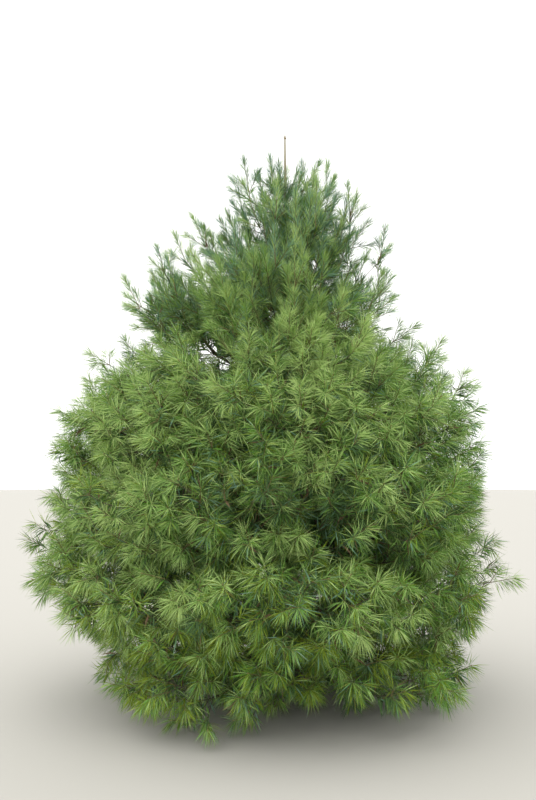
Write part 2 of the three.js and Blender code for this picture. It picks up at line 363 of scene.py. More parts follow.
# Where the crown turns loose and open: start and stretch in height, and to the right.
LOOSE_HEIGHTS = (0.95, -0.5)
LOOSE_RIGHT = (0.6, 0.4)
LOOSER_RIGHT = 0.4
OPEN_HEIGHTS = (2.0, 0.9)
# How much less deep needles grow in the open crown and in the loose one.
OPEN_SHALLOWER = 0.4
LOOSE_SHALLOWER = 0.1
RAY_RISES = (-35, 5, 40, 75)
RAY_LENGTH = 3.0

# Rise of a shoot in degrees by its height, and how far its lift and its sway turn it.
RISE_HEIGHTS = (0.0, 0.5, 1.2, 1.8, 2.4, 3.0, 3.8)
RISES = (4, 13, 26, 40, 50, 53, 66)
LIFT_TURN = 12
RISE_SWAY = 12
HEADING_SWAY = 26

# Where sprays stand closer than usual: round the waist of the upper crown, at its top, behind
# hollows and thick places, and on the bulge in front.
WAIST_HEIGHT = 3.05
WAIST_REACH = 0.5
WAIST_CLOSER = 0.18
TOP_SPRAYS = (3.4, 0.3)
TOP_CLOSER = 0.14
THICK_CLOSER = 0.28
BULGE_HEIGHT = 2.3
BULGE_REACH = 0.4
BULGE_FRONT = -0.5
BULGE_CLOSER = 0.1
LOOSE_WIDER = 0.2
TIP_SPACING = 0.1
TIP_DEPTHS = (-0.2, 0.12)
TIP_LIFT = 0.3
FILL_LIFT = 0.2
# A turn wider than any, for masses of other whorls.
NO_TURN = 9
KNOT_CLEARANCE = 0.07
SHOOT_CLEARANCE = 0.03
# Length and depth of the shoot at a bough's end.
END_SHOOT = (0.16, 0.05)
# How a twig's radius grows with the number of shoots that it carries.
TWIG_POWER = 0.45
# A place's luck times this, without its whole part, serves as a second draw.
SECOND_DRAW = 997
# Length of a leading shoot, as a share that changes from spray to spray.
LEAST_LEAD = 0.75
LEAD_STRAY = 0.45
# How far behind its spray's place a shoot starts, and how much less far in the open crown.
INSET = 0.075
OPEN_INSET = 0.025
# Share of its twig's own aim that a leading shoot keeps.
TWIG_AIM = 0.2
SIDE_SHOOT_LEANS = (40, 66)
OPEN_LESS_LEAN = 12
SIDE_SHOOT_STRAY = 0.25
SIDE_SHOOT_SHARES = (0.5, 0.78)
SHALLOW = 0.2

BOUGH_RINGS = 46
BOUGH_SIDES = 8
LEAST_BOUGH = 0.0022
STOUT_TWIG = 0.0042
BRANCH_SIDES = 5
TWIG_SIDES = 3
SHOOT_RADII = (0.0032, 0.0021)
BUD_STEPS = (-0.002, 0.006, 0.016)
BUD_RADII = (0.0016, 0.0034, 0.0002)
# Buds at the leader's tip: heading in radians and lean in degrees.
TOP_BUDS = ((0, 0), (0.4, 50), (2.0, 48), (3.4, 52), (5.1, 46))
# How far these buds start below the tip, and below that on the leader itself and on its sides.
BUDS_BELOW = 0.012
TOP_BUD_DROP = 0.008
SIDE_BUD_DROP = 0.016
TOP_BUD_STEPS = (0.0, 0.010, 0.020)
TOP_BUD_RADII = (0.003, 0.0048, 0.0004)

# Collar and groove that each whorl leaves on the trunk.
COLLAR = 0.006
COLLAR_HEIGHT = 0.03
GROOVE = 0.0015
GROOVE_ABOVE = 0.055
GROOVE_HEIGHT = 0.012

PATCH_COLOUR = (0.20, 0.205, 0.17, 1)
FLOOR_SIDES = 96
SKY_COLOUR = (1.0, 1.0, 0.985, 1)
KEY_COLOUR = (1.0, 0.99, 0.96)
KEY_PLACE = (-1.8, -2.6, 7.0)
KEY_SPREAD = 80


def lengths_of(vectors):
    return np.linalg.norm(vectors, axis=-1)


def unit(vectors):
    return vectors / np.maximum(lengths_of(vectors)[..., None], 1e-9)


def ways_along(line):
    """Length of a line up to each of its points."""
    return np.concatenate([[0], lengths_of(np.diff(line, axis=0)).cumsum()])


def ramp(value, start, over):
    """0 up to the start, then rising to 1 over a stretch. A negative stretch runs downwards."""
    return np.clip((value - start) / over, 0, 1)


def trunk_centre(height):
    """Centre line of the trunk at each height."""
    height = np.asarray(height, dtype=float)
    share = np.clip(height / TREE_HEIGHT, 0, 1)
    x = LEAN_AT_TIP * share**LEAN_BEND + SWAY * np.sin(2 * np.pi * share)
    y = SWAY * np.sin(3 * np.pi * share)
    return np.stack([x, y, height], axis=-1)


def out_from_trunk(height, distance, angle):
    """Places at a height and a distance from the trunk's line, in a heading."""
    flat = np.stack([np.cos(angle), np.sin(angle), np.zeros_like(height)], axis=-1)
    return trunk_centre(height) + distance[..., None] * flat


def trunk_radius(height, angle):
    taper = np.clip(1 - height / TREE_HEIGHT, 0, 1) ** STEM_TAPER
    stem = TIP_RADIUS + (STEM_RADIUS - TIP_RADIUS) * taper
    flare = np.exp(-height / FLARE_HEIGHT)
    lobes = 1 + ROOT_LOBE_SHARE * flare * np.cos(ROOT_LOBES * angle)
    return (stem + FLARE_RADIUS * flare) * lobes


def reach_at(whorl, angle):
    """Reach of a whorl in a heading, blended from its four reaches."""
    across, along = np.cos(angle), np.sin(angle)
    side = np.where(across > 0, whorl.right, whorl.left)
    depth = np.where(along > 0, whorl.back, whorl.front)
    return side * across**2 + depth * along**2


def middle_height(whorl, distance, angle):
    """Height of the middle of a whorl's foliage at a distance from the trunk's line."""
    share = distance / reach_at(whorl, angle)
    return whorl.start + (whorl.tip - whorl.start) * share**whorl.curve


def room(index, distance, angle):
    """How far a whorl's foliage goes up and down from its middle."""
    whorl = WHORLS[index]
    own = middle_height(whorl, distance, angle)
    up = np.maximum(0, ROOF_HEIGHT - ROOF_FALL * distance - own)
    if index + 1 < len(WHORLS):
        above = (middle_height(WHORLS[index + 1], distance, angle) - own) / 2
        up = np.minimum(np.minimum(up, above), whorl.deep)
    down = own - GROUND_CLEARANCE
    if index > 0:
        down = (own - middle_height(WHORLS[index - 1], distance, angle)) / 2
    return up, np.minimum(down, whorl.deep)


def share_of_whorl(headings, place):
    """Middle heading and half width, in radians, of one bough's share of its whorl."""
    count = len(headings)
    own = headings[place]
    before = headings[place - 1] if place else headings[-1] - 360
    after = headings[place + 1] if place < count - 1 else headings[0] + 360
    low, high = (own + before) / 2, (own + after) / 2
    return math.radians((low + high) / 2), math.radians((high - low) / 2)


def foliage_reach(whorl, angle):
    """How far out a whorl's shoots stand: a little inside its solids, and most so on the right."""
    slim = np.interp(whorl.start, SLIM_HEIGHTS, SLIM_SHARES)
    return reach_at(whorl, angle) * (1 - slim - SLIM_RIGHT * np.clip(np.cos(angle), 0, 1) ** 2)


def places_out(angle, height, share_out):
    """Places at a share of the way out from the trunk, with the nearest whorl of each."""
    tips = np.array([whorl.tip for whorl in WHORLS])
    reaches = np.array([foliage_reach(whorl, angle) for whorl in WHORLS])
    above = np.clip(np.searchsorted(tips, height), 1, len(tips) - 1)
    share = (height - tips[above - 1]) / (tips[above] - tips[above - 1])
    each = np.arange(len(angle))
    distance = reaches[above - 1, each] * (1 - share) + reaches[above, each] * share
    nearest = np.where(share < WHORL_BORDER, above - 1, above)
    return out_from_trunk(height, distance * share_out, angle), nearest


def places_between(count, rng):
    """Random places near the surface in the gaps between whorls, in patches and on some sides."""
    angle = rng.uniform(-np.pi, np.pi, count)
    height = rng.uniform(*GAP_HEIGHTS, count)
    patch = np.sin(3.1 * angle + 2.3 * height) * np.sin(5.3 * height - 1.7 * angle + 1)
    sides = (np.abs(np.sin(angle)) < 0.45) & (height < 2.3)
    low_front_left = (np.abs(angle + 2.1) < 0.45) & (height < 0.95)
    high_front = (np.sin(angle) < -0.85) & (height > 1.55)
    left_shelf = (np.cos(angle) < -0.5) & (np.abs(height - 1.85) < 0.25)
    fair = ((patch > GAP_PATCH) | sides) & (height > 0.8)
    fair |= low_front_left | high_front | left_shelf
    angle, height = angle[fair], height[fair]
    return *places_out(angle, height, rng.uniform(*GAP_SHARES, len(angle))), angle


def places_in_core(count, rng):
    """Random places round the trunk, where only old dark sprays are left."""
    angle = rng.uniform(-np.pi, np.pi, count)
    height = rng.uniform(*CORE_HEIGHTS, count)
    share_out = CORE_SHARE * rng.uniform(*CORE_SHARES, count) ** 0.5
    return *places_out(angle, height, share_out), angle


def places_in_mass(index, heading, half_width, count, rng):
    """Random places in one mass of foliage."""
    whorl = WHORLS[index]
    cube = rng.uniform(-1, 1, (count * 2, 3))
    inside = (np.abs(cube) ** MASS_FULLNESS).sum(axis=1) < 1
    a, b, c = cube[inside][:count].T
    angle = heading + half_width * b
    reach = foliage_reach(whorl, angle)
    distance = (reach + whorl.bare + a * (reach - whorl.bare)) / 2
    up, down = room(index, distance, angle)
    height = middle_height(whorl, distance, angle) + c * np.where(c > 0, up, down)
    return out_from_trunk(height, distance, angle), c


def crown_surface():
    """All the masses of foliage as one tree of faces for ray casts."""
    corners, faces = [], []
    for name in FOLIAGE:
        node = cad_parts[name]
        start = len(corners)
        corners.extend(node.matrix_world @ v.co for v in node.data.vertices)
        faces.extend([start + i for i in p.vertices] for p in node.data.polygons)
    return BVHTree.FromPolygons(corners, faces)


def depth_inside(places, surface):
    """Least distance from each place to the open air, outwards and upwards."""
    flat = places - trunk_centre(places[:, 2])
    outwards = unit(flat * np.array([1, 1, 0]))
    least = np.full(len(places), RAY_LENGTH)
    for rise in RAY_RISES:
        lean = math.radians(rise)
        aims = outwards * math.cos(lean) + UP * math.sin(lean)
        for i, (place, aim) in enumerate(zip(places, aims)):
            towards = Vector(aim)
            hit = surface.ray_cast(Vector(place) + towards * RAY_LENGTH, -towards, RAY_LENGTH)
            depth = RAY_LENGTH - hit[3] if hit[0] is not None else 0.0
            least[i] = min(least[i], depth)
    return least


def in_line_with(openings, places, rim=0.0):
    """Places that lie in line with one of the openings, or with its rim."""
    inside = np.zeros(len(places), dtype=bool)
    away = places - EYE
    for x, z, radius in openings:
        sight = unit(np.array([x, 0.0, z]) - EYE)
        aside = away - (away @ sight)[:, None] * sight
        inside |= lengths_of(aside) < radius + rim
    return inside


def in_hollow(places, depth):
    """Places near the surface of the crown's front that lie in line with one of its hollows."""
    shallow = (depth < HOLLOW_DEPTH) & (places[:, 1] < 0)
    return in_line_with(HOLLOWS, places) & shallow


def outside_edge(places):
    """Places that stand out from the edge of the dense foliage, as seen from the front."""
    away = places - EYE
    scale = -EYE[1] / away[:, 1]
    across, height = EYE[0] + away[:, 0] * scale, EYE[2] + away[:, 2] * scale
    heights, lefts, rights = np.array(EDGE).T
    left = np.interp(height, heights, lefts) + EDGE_INSET
    right = np.interp(height, heights, rights) - EDGE_INSET
    return (across < left) | (across > right)


def under_hem(places):
    """Places that hang lower in front than the crown's foot does."""
    away = places - EYE
    aside = away[:, 0] / away[:, 1]
    hem = np.interp(aside, HEM_TURN, (HEM_LEFT, HEM_RIGHT))
    hem -= HEM_RISE + HEM_WAVE * np.sin(aside * 75) * np.sin(aside * 31 + 1)
    hem -= HEM_WAVE * np.sin(aside * 210 + 9 * places[:, 1])
    return (away[:, 2] < -hem * away[:, 1]) & (places[:, 1] < 0)


def looseness(places):
    """0 in the dense crown, 1 near the ground, and more on the right, where the boughs thin out."""
    more = 1 + LOOSER_RIGHT * ramp(places[:, 0], *LOOSE_RIGHT)
    return ramp(places[:, 2], *LOOSE_HEIGHTS) * more


def openness(height):
    """0 in the dense lower crown, 1 in the open upper crown."""
    return ramp(np.asarray(height), *OPEN_HEIGHTS)


def wanted_aim(places, lift, sway):
    """Way in which a shoot grows: outwards near the ground, and steeply upwards near the top."""
    height = places[:, 2]
    rise = np.interp(height, RISE_HEIGHTS, RISES)
    rise = np.radians(rise + LIFT_TURN * lift + RISE_SWAY * sway[:, 0])
    flat = places - trunk_centre(height)
    angle = np.arctan2(flat[:, 1], flat[:, 0]) + np.radians(HEADING_SWAY * sway[:, 1])
    return np.stack(
        [np.cos(rise) * np.cos(angle), np.cos(rise) * np.sin(angle), np.sin(rise)], axis=-1
    )


def thinned(places, spacing, first, luck):
    """Indices of places that keep their spacing: the first ones, then the rest in order of luck."""
    kept, kept_places = [], np.empty((len(places), 3))
    order = np.concatenate([np.arange(first), first + np.argsort(luck[first:])])
    for i in order:
        near = kept_places[: len(kept)] - places[i]
        if len(kept) and (np.einsum("ij,ij->i", near, near) < spacing[i] ** 2).any():
            continue
        kept_places[len(kept)] = places[i]
        kept.append(i)
    return np.array(kept)


def coarse_to_fine(places, start):
    """Order in which the furthest places from all earlier ones come first."""
    least = lengths_of(places - start)
    order = []
    for _ in range(len(places)):
        chosen = int(np.argmax(least))
        order.append(chosen)
        least = np.minimum(least, lengths_of(places - places[chosen]))
        least[chosen] = -1
    return order


def bough_line(whorl, heading):
    """Middle line of a bough, from the trunk's line to near the end of its foliage."""
    reach = float(reach_at(whorl, heading))
    distance = np.linspace(0, BOUGH_END * reach, BOUGH_POINTS)
    bare = np.clip(distance / max(whorl.bare, 1e-6), 0, 1)
    height = middle_height(whorl, distance, heading) - BOUGH_SAG * np.sin(np.pi * bare)
    flat = np.array([math.cos(heading), math.sin(heading), 0.0])
    return trunk_centre(height) + distance[:, None] * flat


class Limbs:
    """The branching of one mass: nodes with a direction, a way back to the trunk and a load."""

    STEPS = 6
    TURN_COST = 1.5
    WAY_COST = 0.30
    LEAST_TURN = 0.1
    SHARP_TURN_COST = 4
    BARE_COST = 50
    # A path leaves and arrives by a share of the limb's own aim, and by this much of its length.
    LEAVE_SHARE = 0.5
    LEAVE_PULL = 0.75
    ARRIVE_SHARE = 0.6
    ARRIVE_PULL = 0.7

    def __init__(self, line, first):
        self.points = list(line)
        self.aims = list(unit(np.gradient(line, axis=0)))
        self.ways = list(ways_along(line))
        self.open_from = first
        self.main = list(range(len(line)))
        self.paths = []

    def add(self, target, aim):
        """Grows a path from the node that it costs least to part from."""
        points = np.array(self.points)
        aims = np.array(self.aims)
        ways = np.array(self.ways)
        gap = target - points
        distance = lengths_of(gap)
        turn = np.einsum("ij,ij->i", gap, aims) / np.maximum(distance, 1e-6)
        cost = distance * (1 + self.TURN_COST * (1 - turn)) + self.WAY_COST * ways
        cost[turn < self.LEAST_TURN] += self.SHARP_TURN_COST
        cost[: self.open_from] += self.BARE_COST
        parent = int(np.argmin(cost))
        start, length = points[parent], distance[parent]
        straight = gap[parent] / max(length, 1e-6)
        leave = self.LEAVE_SHARE * aims[parent] + (1 - self.LEAVE_SHARE) * straight
        leave = unit(leave) * length * self.LEAVE_PULL
        arrive = self.ARRIVE_SHARE * aim + (1 - self.ARRIVE_SHARE) * straight
        arrive = unit(arrive) * length * self.ARRIVE_PULL
        t = np.linspace(0, 1, self.STEPS)[:, None]
        path = (
            (2 * t**3 - 3 * t**2 + 1) * start
            + (t**3 - 2 * t**2 + t) * leave
            + (-2 * t**3 + 3 * t**2) * target
            + (t**3 - t**2) * arrive
        )
        path[1:, 2] = np.maximum(path[1:, 2], GROUND_CLEARANCE)
        first = len(self.points)
        self.points.extend(path[1:])
        self.aims.extend(unit(np.gradient(path, axis=0))[1:])
        self.ways.extend(ways[parent] + ways_along(path)[1:])
        self.paths.append([parent, *range(first, first + self.STEPS - 1)])

    def loads(self):
        """How many shoots each node carries."""
        carried = np.zeros(len(self.points))
        load = np.ones(len(self.points))
        for nodes in reversed(self.paths):
            total = 1.0
            for node in reversed(nodes[1:]):
                total += carried[node]
                load[node] = total
            carried[nodes[0]] += total
        total = 1.0
        for node in reversed(self.main):
            total += carried[node]
            load[node] = total
        return load


Crown = namedtuple("Crown", "boughs twigs shoots")
Bough = namedtuple("Bough", "whorl line load")
Shoots = namedtuple("Shoots", "start aim length depth order")
Places = namedtuple("Places", "point lift owner depth luck sway")
Home = namedtuple("Home", "whorl heading half_width")
grown = {}


def picked(rows, keep):
    """The same kind of rows, with only the kept ones."""
    return type(rows)(*(values[keep] for values in rows))


def tried_places(look, homes, rng):
    """Random places in each mass, between the whorls and round the trunk.

    The second result marks the places round the trunk.
    """
    points, lifts, owners = [], [], []
    whorls = [WHORLS.index(home.whorl) for home in homes]
    for owner, home in enumerate(homes):
        half_width = home.half_width * home.whorl.spread
        inside, lift = places_in_mass(whorls[owner], home.heading, half_width, look.candidates, rng)
        points.append(inside)
        lifts.append(lift)
        owners.append(np.full(len(inside), owner))
    headings = np.array([home.heading for home in homes])
    for fill, many in ((places_between, 8), (places_in_core, 3)):
        filled, whorl_of, angle = fill(look.candidates * many, rng)
        turn = np.abs((angle[:, None] - headings + np.pi) % (2 * np.pi) - np.pi)
        turn[np.array(whorls)[None, :] != whorl_of[:, None]] = NO_TURN
        points.append(filled)
        lifts.append(np.full(len(filled), FILL_LIFT))
        owners.append(np.argmin(turn, axis=1))
    in_core = np.arange(sum(map(len, points))) >= sum(map(len, points[:-1]))
    points = np.concatenate(points)
    luck, sway = rng.random(len(points)), rng.normal(0, 1, (len(points), 2))
    depth = depth_inside(points, crown_surface())
    return Places(points, np.concatenate(lifts), np.concatenate(owners), depth, luck, sway), in_core


def fair_places(look, places, in_core):
    """Places where a spray may stand."""
    point = places.point
    inner_end = 1 - OPEN_SHALLOWER * openness(point[:, 2]) - LOOSE_SHALLOWER * looseness(point)
    fair = (places.depth < look.depth * inner_end) | in_core
    fair &= ~in_line_with(WINDOWS, point, WINDOW_RIM) & ~in_hollow(point, places.depth)
    return fair & ~under_hem(point) & ~outside_edge(point)


def with_tips(places, rng):
    """The places, after those of the furthest shoots on the outline."""
    tips = np.array([(x, rng.uniform(*TIP_DEPTHS), z) for x, z in TIPS])
    near = [int(np.argmin(lengths_of(places.point - tip))) for tip in tips]
    none = np.zeros(len(tips))
    first = Places(tips, none + TIP_LIFT, places.owner[near], none, none, places.sway[near])
    return Places(*(np.concatenate(pair) for pair in zip(first, places)))


def spacing_at(look, places):
    """Least distance from one spray to the next at each place."""
    height = places.point[:, 2]
    spacing = look.spacing + (look.spacing_high - look.spacing) * openness(height)
    spacing += look.spacing_inside * places.depth
    spacing *= 1 + LOOSE_WIDER * looseness(places.point)
    waist = np.clip(1 - np.abs(height - WAIST_HEIGHT) / WAIST_REACH, 0, 1)
    spacing *= 1 - WAIST_CLOSER * waist - TOP_CLOSER * ramp(height, *TOP_SPRAYS)
    behind = in_line_with(HOLLOWS + THICK, places.point, THICK_RIM)
    bulge = (places.point[:, 1] < BULGE_FRONT) & (np.abs(height - BULGE_HEIGHT) < BULGE_REACH)
    spacing *= 1 - THICK_CLOSER * behind - BULGE_CLOSER * (bulge & ~behind)
    spacing[: len(TIPS)] = TIP_SPACING
    return spacing


def home_line(home):
    """Middle line that a mass's twigs part from, and how many of its first points stay bare."""
    whorl = home.whorl
    if whorl.bare == 0:
        heights = np.linspace(whorl.start - TOP_BELOW, TREE_HEIGHT - TOP_SHORT, TOP_POINTS)
        return trunk_centre(heights), 0
    line = bough_line(whorl, home.heading)
    reach = lengths_of((line - line[0])[:, :2])
    return line, int(np.searchsorted(reach, whorl.bare * BARE_SHARE))


def grow_crown():
    """Grows the whole branching once, and keeps it for the pieces made from it."""
    if "crown" in grown:
        return grown["crown"]
    look = bpy.context.scene.crown_look
    rng = np.random.default_rng(look.seed)
    homes = [
        Home(whorl, *share_of_whorl(whorl.headings, place))
        for whorl in WHORLS for place in range(len(whorl.headings))
    ]
    places, in_core = tried_places(look, homes, rng)
    places = with_tips(picked(places, fair_places(look, places, in_core)), rng)
    kept = thinned(places.point, spacing_at(look, places), len(TIPS), places.luck)
    places = picked(places, kept)
    is_tip = kept < len(TIPS)

    open_share = openness(places.point[:, 2])
    aims = wanted_aim(places.point, places.lift, places.sway)
    lead = look.shoot_low + (look.shoot_high - look.shoot_low) * open_share
    lead *= LEAST_LEAD + LEAD_STRAY * (places.luck * SECOND_DRAW % 1)
    inset = INSET - OPEN_INSET * open_share
    knots = places.point - aims * (lead + inset)[:, None]
    knots[:, 2] = np.maximum(knots[:, 2], KNOT_CLEARANCE)

    boughs, twigs, radii, shoots = [], [], [], []
    for owner, home in enumerate(homes):
        mine = np.flatnonzero(places.owner == owner)
        line, first = home_line(home)
        limbs = Limbs(line, first)
        order = [mine[i] for i in coarse_to_fine(knots[mine], line[min(first, len(line) - 1)])]
        for i in order:
            limbs.add(knots[i], aims[i])
        load = limbs.loads()
        points = np.array(limbs.points)
        ends = np.array(limbs.aims)
        for i, nodes in zip(order, limbs.paths):
            twigs.append(points[nodes])
            weights = load[nodes].copy()
            weights[0] = weights[1]
            radii.append(look.twig_radius * weights**TWIG_POWER)
            kept_aim = 0 if is_tip[i] else TWIG_AIM
            aim = unit(kept_aim * ends[nodes[-1]] + (1 - kept_aim) * aims[i])
            shoots += spray(knots[i], aim, lead[i], places.depth[i], rng)
        if home.whorl.bare > 0:
            boughs.append(Bough(home.whorl, line, load[limbs.main]))
            shoots += spray(line[-1], limbs.aims[len(line) - 1], *END_SHOOT, rng)
    shoots = Shoots(*(np.array(column) for column in zip(*shoots)))
    ends = shoots.start + shoots.aim * shoots.length[:, None]
    shoots = picked(shoots, ~in_line_with(WINDOWS, ends))
    grown["crown"] = Crown(boughs, (np.array(twigs), np.array(radii)), shoots)
    return grown["crown"]


def spray(start, aim, length, depth, rng):
    """A leading shoot, most often with a few shorter ones that part from its foot."""
    side = unit(np.cross(aim, UP if abs(aim[2]) < STEEP else SIDEWAYS))
    over = np.cross(side, aim)
    turn = rng.uniform(0, 2 * np.pi)
    open_share = float(openness(start[2]))
    count = int(rng.integers(1, 4)) if depth < SHALLOW else int(rng.integers(0, 2))
    aims, lengths = [aim], [length]
    for k in range(count):
        around = turn + 2 * np.pi * k / count + rng.normal(0, SIDE_SHOOT_STRAY)
        lean = math.radians(rng.uniform(*SIDE_SHOOT_LEANS) - OPEN_LESS_LEAN * open_share)
        out = np.cos(around) * side + np.sin(around) * over
        aims.append(unit(aim * math.cos(lean) + out * math.sin(lean)))
        lengths.append(length * rng.uniform(*SIDE_SHOOT_SHARES))
    for order, (direction, reach) in enumerate(zip(aims, lengths)):
        if start[2] + reach * direction[2] < SHOOT_CLEARANCE:
            aims[order] = direction * np.array([1, 1, -1])
    return [(start, aims[order], lengths[order], depth, order) for order in range(len(aims))]


def tubes(lines, radii, sides):
    """Corners and faces of many tubes. lines is (tubes, rings, 3) and radii (tubes, rings)."""
    count, rings = radii.shape
    aims = unit(np.gradient(lines, axis=1))
    whole = unit(lines[:, -1] - lines[:, 0])
    helper = np.where(np.abs(whole[:, 2:]) < STEEP, UP, SIDEWAYS)
    side = unit(np.cross(whole, helper))[:, None, :]
    side = unit(side - (side * aims).sum(-1, keepdims=True) * aims)
    over = np.cross(aims, side)
    angles = 2 * np.pi * np.arange(sides) / sides
    ring = side[:, :, None, :] * np.cos(angles)[:, None]
    ring = ring + over[:, :, None, :] * np.sin(angles)[:, None]
    corners = lines[:, :, None, :] + ring * radii[:, :, None, None]
    index = np.arange(count * rings * sides).reshape(count, rings, sides)
    low, high = index[:, :-1], index[:, 1:]
    faces = np.stack([low, np.roll(low, -1, 2), np.roll(high, -1, 2), high], axis=-1)
    return corners.reshape(-1, 3), faces.reshape(-1, 4)


def mesh_piece(name, corners, faces, material, nodes, smooth=True):
    """A mesh of faces with equal corner counts, as a piece that rides on the tree's one body."""
    mesh = bpy.data.meshes.new(name)
    count, size = faces.shape
    mesh.vertices.add(len(corners))
    mesh.vertices.foreach_set("co", np.ascontiguousarray(corners, dtype=np.float32).ravel())
    mesh.loops.add(count * size)
    mesh.loops.foreach_set("vertex_index", np.ascontiguousarray(faces, dtype=np.int32).ravel())
    mesh.polygons.add(count)
    mesh.polygons.foreach_set("loop_start", np.arange(0, count * size, size, dtype=np.int32))
    mesh.update(calc_edges=True)
    mesh.validate()
    mesh.polygons.foreach_set("use_smooth", np.full(len(mesh.polygons), smooth))
    mesh.materials.append(material)
    piece = bpy.data.objects.new(name, mesh)
    bpy.context.scene.collection.objects.link(piece)
    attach(piece, "root")
    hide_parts(*nodes)


def plain_material(name, colour, roughness, gloss=0.35):
    material = bpy.data.materials.new(name)
    material.use_nodes = True
    shader = material.node_tree.nodes["Principled BSDF"]
    shader.inputs["Base Color"].default_value = (*colour, 1)
    shader.inputs["Roughness"].default_value = roughness
    shader.inputs["Specular IOR Level"].default_value = gloss
    return material


def add_node(tree, kind, inputs, **settings):
    """A new node. Each input takes a plain value, or a link from another node's output."""
    node = tree.nodes.new(kind)
    for name, value in settings.items():
        setattr(node, name, value)
    for name, value in inputs.items():
        if isinstance(value, bpy.types.NodeSocket):
            tree.links.new(value, node.inputs[name])
        else:
            node.inputs[name].default_value = value
    return node


def bark_group():
    """Node group: bark in plates drawn out along the limb, grey patches, and a young upper end."""
    if "bark_plates" in bpy.data.node_groups:
        return bpy.data.node_groups["bark_plates"]
    group = bpy.data.node_groups.new("bark_plates", "ShaderNodeTree")
    for way, kind, names in (
        ("INPUT", "NodeSocketColor", ("Dark", "Light", "Young")),
        ("INPUT", "NodeSocketFloat", ("Scale", "Patches", "Young Height")),
        ("OUTPUT", "NodeSocketColor", ("Color",)),
        ("OUTPUT", "NodeSocketFloat", ("Roughness", "Height")),
    ):
        for name in names:
            group.interface.new_socket(name, in_out=way, socket_type=kind)

    def mapped(value, low, high, to_low=0.0, to_high=1.0):
        limits = {"From Min": low, "From Max": high, "To Min": to_low, "To Max": to_high}
        node = add_node(group, "ShaderNodeMapRange", {"Value": value, **limits})
        return node.outputs["Result"]

    def mixed(factor, first, second):
        inputs = {"Factor": factor, "A": first, "B": second}
        return add_node(group, "ShaderNodeMix", inputs, data_type="RGBA").outputs["Result"]

    def noise(place, scale, detail, roughness=0.5):
        inputs = {"Vector": place, "Scale": scale, "Detail": detail, "Roughness": roughness}
        return add_node(group, "ShaderNodeTexNoise", inputs).outputs["Fac"]

    given = group.nodes.new("NodeGroupInput").outputs
    place = group.nodes.new("ShaderNodeTexCoord").outputs["Object"]
    drawn_out = add_node(
        group, "ShaderNodeVectorMath", {0: place, 1: (1.0, 1.0, 0.35)}, operation="MULTIPLY"
    )
    plates = noise(drawn_out.outputs[0], given["Scale"], 6, 0.62)
    lichen = noise(place, 14, 3)
    spread = mapped(plates, 0.36, 0.66)
    bark = mixed(spread, given["Dark"], given["Light"])
    patch = mapped(lichen, 0.55, 0.75, 0.0, given["Patches"])
    bark = mixed(patch, bark, PATCH_COLOUR)
    height = add_node(group, "ShaderNodeSeparateXYZ", {0: place}).outputs["Z"]
    above = add_node(
        group, "ShaderNodeMath", {0: height, 1: given["Young Height"]}, operation="SUBTRACT"
    )
    shade = mapped(plates, 0.0, 1.0, 0.75, 1.15)
    young = add_node(
        group, "ShaderNodeVectorMath", {0: given["Young"], "Scale": shade}, operation="SCALE"
    )
    bark = mixed(mapped(above.outputs[0], 0.0, 0.6), bark, young.outputs[0])
    roughness = mapped(plates, 0.0, 1.0, 0.95, 0.78)
    add_node(group, "NodeGroupOutput", {"Color": bark, "Roughness": roughness, "Height": spread})
    return group


def bark_material(name, dark, light, scale, bump, patches, young=(0.1, 0.1, 0.1), young_from=9.0):
    material = plain_material(name, light, 0.5, 0.3)
    tree = material.node_tree
    bark = add_node(tree, "ShaderNodeGroup", {}, node_tree=bark_group())
    values = {"Scale": scale, "Patches": patches, "Young Height": young_from}
    colours = {"Dark": (*dark, 1), "Light": (*light, 1), "Young": (*young, 1)}
    for socket, value in {**values, **colours}.items():
        bark.inputs[socket].default_value = value
    inputs = {"Height": bark.outputs["Height"], "Strength": 0.7, "Distance": bump}
    relief = add_node(tree, "ShaderNodeBump", inputs)
    shader = tree.nodes["Principled BSDF"]
    tree.links.new(bark.outputs["Color"], shader.inputs["Base Color"])
    tree.links.new(bark.outputs["Roughness"], shader.inputs["Roughness"])
    tree.links.new(relief.outputs["Normal"], shader.inputs["Normal"])
    return material


def bark_relief(height, angle, grain):
    """Furrows along the limb and small bumps, from -1 to 1."""
    furrows = np.sin(9 * angle + 3.1 * np.sin(5.3 * height / grain) + 1.3 * np.sin(2 * angle))
    bumps = np.sin(17 * angle + 11 * height / grain) * np.sin(23 * height / grain - 6 * angle)
    return 0.65 * furrows + 0.35 * bumps


